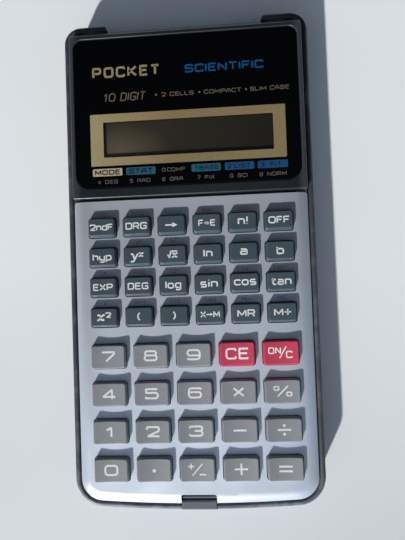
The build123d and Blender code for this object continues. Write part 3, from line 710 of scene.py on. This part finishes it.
# second functions, printed on the silver plate above each key
PLATE = 11.3
SECOND = [
    ["", "", "", "", "", ""],
    ["", [("ix", 0.9, 0), ("2", 0.5, 0.5)], [("3", 0.6, 0.35), "v"], [("e", 1, 0), ("ix", 0.6, 0.5)], "", ""],
    ["p.i", list("RAD"), ["1", "0", ("ix", 0.6, 0.5)], list("sin") + [("-", 0.5, 0.5), ("1", 0.5, 0.5)],
     list("cos") + [("-", 0.5, 0.5), ("1", 0.5, 0.5)], list("tan") + [("-", 0.5, 0.5), ("1", 0.5, 0.5)]],
    [["v"], [("X", 1, 0), ("<", 0.8, 0.1), ("Y", 1, 0)], ["1", "/", "X"], list("MIN"), list("M-"), list("MC")],
]
po, pb = Print(lambda x, y: PLATE, 0.01, 0.02), Print(lambda x, y: PLATE, 0.01, 0.02)
for r_, (yy, row) in enumerate(zip(SMALL_Y, SECOND)):
    for c_, (xx, t) in enumerate(zip(SMALL_X, row)):
        if t:
            t = [t] if t == "p.i" else t
            (po if c_ < 4 or r_ == 2 else pb).text(t, xx + 0.2, yy + 4.35, 1.05, 0.95, 0.17, 0.36)
for xx, t in zip((SMALL_X[0], SMALL_X[1], SMALL_X[3], SMALL_X[4]), ("DEL", "RAD", "FIX", "SCI")):
    po.text(list(t), xx + 0.2, SMALL_Y[0] + 4.35, 1.05, 0.95, 0.17, 0.36)
po.make("plate_print_orange", ink_orange, "calculator", "silver_plate")
pb.make("plate_print_blue", ink_plate_blue, "calculator", "silver_plate")

# ------------------------------------------------------------- display window
W_HALF, W_Y0, W_Y1, W_TOP, W_BOTTOM = 34.45, 23.25, 69.8, 11.68, 10.9
O_X0, O_X1, O_Y0, O_Y1 = -25.6, 26.25, 32.75, 43.55


def rounded_loop(x0, x1, y0, y1, r_low, r_high, n=10):
    pts = []
    for cx, cy, a0, r in ((x1, y1, 0, r_high), (x0, y1, 90, r_high), (x0, y0, 180, r_low), (x1, y0, 270, r_low)):
        sx, sy = (-1 if cx == x1 else 1), (-1 if cy == y1 else 1)
        for k in range(n + 1):
            a = math.radians(a0 + 90 * k / n)
            pts.append((cx + sx * r + r * math.cos(a), cy + sy * r + r * math.sin(a)))
    return pts


def panel_mesh():
    """The printed acrylic panel: rounded outline, softened edge, and an opening with its own softened edge."""
    n = 10
    rings = []
    for inset, z in ((0.0, W_BOTTOM), (0.0, W_TOP - 0.22), (0.03, W_TOP - 0.12), (0.10, W_TOP - 0.04), (0.22, W_TOP)):
        rings.append([(x, y, z) for x, y in rounded_loop(-W_HALF + inset, W_HALF - inset, W_Y0 + inset, W_Y1 - inset, 4.5 - inset, 2.6 - inset, n)])
    inner = []
    for inset, z in ((0.06, W_TOP), (0.015, W_TOP - 0.02), (0.0, W_TOP - 0.08), (0.0, W_BOTTOM)):
        inner.append([(x, y, z) for x, y in rounded_loop(O_X0 - inset, O_X1 + inset, O_Y0 - inset, O_Y1 + inset, 0.3, 0.3, n)])
    loops = rings + inner
    m = len(loops[0])
    v = [tuple(c * MM for c in p) for loop in loops for p in loop]
    f = []
    for k in range(len(loops)):
        k2 = (k + 1) % len(loops)
        for i in range(m):
            j = (i + 1) % m
            f.append((k * m + i, k * m + j, k2 * m + j, k2 * m + i))
    me = bpy.data.meshes.new("window_panel")
    me.from_pydata(v, [], f)
    me.update()
    return me


me = panel_mesh()
me.materials.append(mat_window.m)
panel = bpy.data.objects.new("window_panel", me)
bpy.context.scene.collection.objects.link(panel)
for poly in me.polygons:
    poly.use_smooth = True
mod = panel.modifiers.new("n", "WEIGHTED_NORMAL")
mod.keep_sharp = True
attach(panel, "calculator")
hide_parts("display_window")

pane = Print(lambda x, y: W_TOP - 0.05, 0.0, 0.55)
pane.patch(O_X0 + 0.01, O_X1 - 0.01, O_Y0 + 0.01, O_Y1 - 0.01, 0.29)
pane.make("window_pane", mat_pane, "calculator", "window_acrylic")

# front polariser, bonded to the liquid crystal's glass inside the frame's aperture
film = Print(lambda x, y: 10.84, 0.0, 0.68)
film.patch(-26.7, 26.7, 32.6, 44.5, 0.35)
film.make("lcd_front_polariser", mat_lcd, "calculator", "lcd")

on_panel = lambda x, y: W_TOP
p = Print(on_panel, 0.010, 0.03)
p.ring((-29.7, 30.1, 30.1, 46.2), (O_X0 - 0.08, O_X1 + 0.08, O_Y0 - 0.08, O_Y1 + 0.08), 0.35, 0.36, 10)
p.make("window_gold_frame", ink_gold, "calculator", "window_acrylic")

# generic words
p = Print(on_panel, 0.010, 0.03)
p.text(list("POCKET"), -18.1, 59.2, 2.70, 0.86, 0.25, 0.52, r=0.24)
p.make("window_word_gold", ink_gold_text, "calculator", "window_acrylic")
p = Print(on_panel, 0.010, 0.03)
p.text(list("DIGIT"), -16.3, 51.35, 2.3, 0.68, 0.14, 0.30, r=0.30, slant=0.20)
p.text(list("10"), -23.7, 51.35, 2.3, 0.76, 0.14, 0.30, r=0.30, slant=0.20)
p.make("window_words_dim", ink_cream_dim, "calculator", "window_acrylic")
p = Print(on_panel, 0.010, 0.03)
p.text(list("SCIENTIFIC"), 12.15, 58.85, 2.05, 1.12, 0.24, 0.46, r=0.20)
p.make("window_words_blue", ink_blue, "calculator", "window_acrylic")
p = Print(on_panel, 0.010, 0.03)
for x in (-8.9, 4.4, 18.6):
    p.patch(x - 0.32, x + 0.32, 51.0, 51.64, 0.31)
p.text(list("2") + [" "] + list("CELLS"), -2.3, 51.3, 1.05, 1.15, 0.19, 0.42)
p.text(list("COMPACT"), 11.5, 51.3, 1.05, 1.15, 0.19, 0.42)
p.text(list("SLIM") + [" "] + list("CASE"), 25.7, 51.3, 1.05, 1.08, 0.19, 0.40)
p.make("window_words_line", ink_cream_dim, "calculator", "window_acrylic")

# mode labels
blocks = [(-29.3, -20.1, "MODE", ink_cream, "gold"), (-18.9, -9.8, "STAT", ink_teal, "teal"), (1.25, 10.1, "1BASE", ink_teal, "teal2"),
          (11.35, 20.2, "2LIST", ink_blue_block, "blue"), (21.3, 30.3, "3FIT", ink_blue_block, "blue2")]
dark = Print(on_panel, 0.022, 0.02)
for x0, x1, t, mat, tag in blocks:
    p = Print(on_panel, 0.010, 0.03)
    p.patch(x0, x1, 26.95, 29.25, 0.40)
    p.make("window_block_" + tag, mat, "calculator", "window_acrylic")
    if t[0].isdigit():
        dark.text([t[0]], x0 + 1.4, 28.10, 1.15, 0.9, 0.26, 0.4)
        dark.text(list(t[1:]), (x0 + x1) / 2 + 0.9, 28.10, 1.15, 0.96, 0.26, 0.46)
    else:
        dark.text(list(t), (x0 + x1) / 2, 28.10, 1.25, 1.10, 0.30, 0.50)
dark.make("window_block_words", ink_dark, "calculator", "window_acrylic")
p = Print(on_panel, 0.010, 0.03)
p.text(list("0"), -7.3, 28.05, 1.0, 0.85, 0.17, 0.4)
p.text(list("COMP"), -3.55, 28.05, 1.0, 0.98, 0.17, 0.42)
for x, d, t in ((-24.6, "4", "DEG"), (-14.6, "5", "RAD"), (-4.6, "6", "GRA"), (5.6, "7", "FIX"), (15.5, "8", "SCI"), (25.8, "9", "NORM")):
    w = 1.0 * (sum(G[c][0] for c in t) * 1.0 + 0.42 * (len(t) - 1))
    p.text([d], x - w / 2 - 0.85, 25.15, 1.0, 0.85, 0.17, 0.4)
    p.text(list(t), x + 1.1, 25.15, 1.0, 1.0, 0.17, 0.44)
p.make("window_mode_words", ink_cream_dim, "calculator", "window_acrylic")

# ----------------------------------------------------------------- the stage
bpy.ops.mesh.primitive_grid_add(x_subdivisions=8, y_subdivisions=8, size=1.6, location=(0, 0, -0.00005))
floor = bpy.context.object
floor.name = "floor"
m = Mat("stage_pale", (0.74, 0.765, 0.79), rough=0.55)
c = m.mix(m.map(m.noise(9, 3, 0.5), 0.3, 0.7, 0.0, 1.0), (0.715, 0.745, 0.775), (0.765, 0.79, 0.81))
# painted light and shade: the floor is darker towards the keyboard end and brighter from the middle onward
m.to_color(m.mix(1.0, c, m.mix(m.map(m.axis(1), -0.095, 0.0, 0.0, 1.0), (0.88, 0.88, 0.88), (1.13, 1.12, 1.10)), "MULTIPLY"))
m.bump(m.noise(60, 4, 0.6), 0.08, 0.0003)
floor.data.materials.append(m.m)

# soft surroundings: brighter low down and towards the keyboard end, dim overhead
world = bpy.data.worlds.new("studio")
bpy.context.scene.world = world
world.use_nodes = True
wn, wl = world.node_tree.nodes, world.node_tree.links
bg = wn["Background"]
tc, sp = wn.new("ShaderNodeTexCoord"), wn.new("ShaderNodeSeparateXYZ")
wl.new(tc.outputs["Generated"], sp.inputs[0])


def world_range(sock, a, b, c, d):
    n = wn.new("ShaderNodeMapRange")
    n.interpolation_type = "SMOOTHSTEP"
    for i, v in enumerate((a, b, c, d)):
        n.inputs[i + 1].default_value = v
    wl.new(sock, n.inputs[0])
    return n.outputs[0]


def world_times(a, b):
    n = wn.new("ShaderNodeMath")
    n.operation = "MULTIPLY"
    for i, v in enumerate((a, b)):
        if isinstance(v, float):
            n.inputs[i].default_value = v
        else:
            wl.new(v, n.inputs[i])
    return n.outputs[0]


dim = world_times(world_range(sp.outputs[2], 0.45, 0.80, 1.0, 0.075), world_range(sp.outputs[1], -0.3, 0.7, 1.0, 0.10))
glow_high = world_times(world_range(sp.outputs[1], -0.44, 0.02, 0.85, 0.0), world_range(sp.outputs[2], 0.45, 0.80, 0.0, 1.0))
total = wn.new("ShaderNodeMath")
total.operation = "ADD"
wl.new(dim, total.inputs[0])
wl.new(glow_high, total.inputs[1])
wl.new(world_times(total.outputs[0], 0.68), bg.inputs[1])
bg.inputs[0].default_value = (0.50, 0.60, 0.74, 1)

sun = bpy.data.lights.new("key_sun", "SUN")
sun.energy = 4.6
sun.angle = math.radians(2.0)
sun.color = (1.0, 0.98, 0.95)
so = bpy.data.objects.new("key_sun", sun)
bpy.context.scene.collection.objects.link(so)
to_light = Vector((-0.84, -1.72, 1.0)).normalized()
so.rotation_euler = to_light.to_track_quat("Z", "Y").to_euler()


def softbox(name, pos, target, size, power, color=(1, 1, 1)):
    li = bpy.data.lights.new(name, "AREA")
    li.shape = "RECTANGLE"
    li.size, li.size_y = size
    li.energy = power
    li.color = color
    o = bpy.data.objects.new(name, li)
    bpy.context.scene.collection.objects.link(o)
    o.location = pos
    o.rotation_euler = (Vector(pos) - Vector(target)).to_track_quat("Z", "Y").to_euler()
    return o


softbox("fill_low", (-0.12, -0.55, 0.30), (0, -0.02, 0), (0.5, 0.25), 0.35, (0.90, 0.95, 1.0))

# ---------------------------------------------------------------- the camera
cam_data = bpy.data.cameras.new("camera")
cam_data.sensor_fit = "VERTICAL"
cam_data.sensor_height = 24.0
cam_data.lens = 450.0 * 24.0 / 540.0
cam_data.clip_start = 0.005
cam = bpy.data.objects.new("camera", cam_data)
bpy.context.scene.collection.objects.link(cam)
# axes of the view: to the right, up, and back towards the camera
view_right = Vector((0.99722, -0.03539, -0.06556))
view_fwd = Vector((-0.0645, 0.03024, -0.99746)).normalized()
view_right = (view_right - view_fwd * view_right.dot(view_fwd)).normalized()
view_up = view_right.cross(view_fwd)
rot = Matrix((view_right, view_up, -view_fwd)).transposed()
cam.matrix_world = Matrix.Translation((0.012229, -0.007097, 0.147029)) @ rot.to_4x4()
bpy.context.scene.camera = cam

bpy.context.scene.view_settings.view_transform = "Standard"
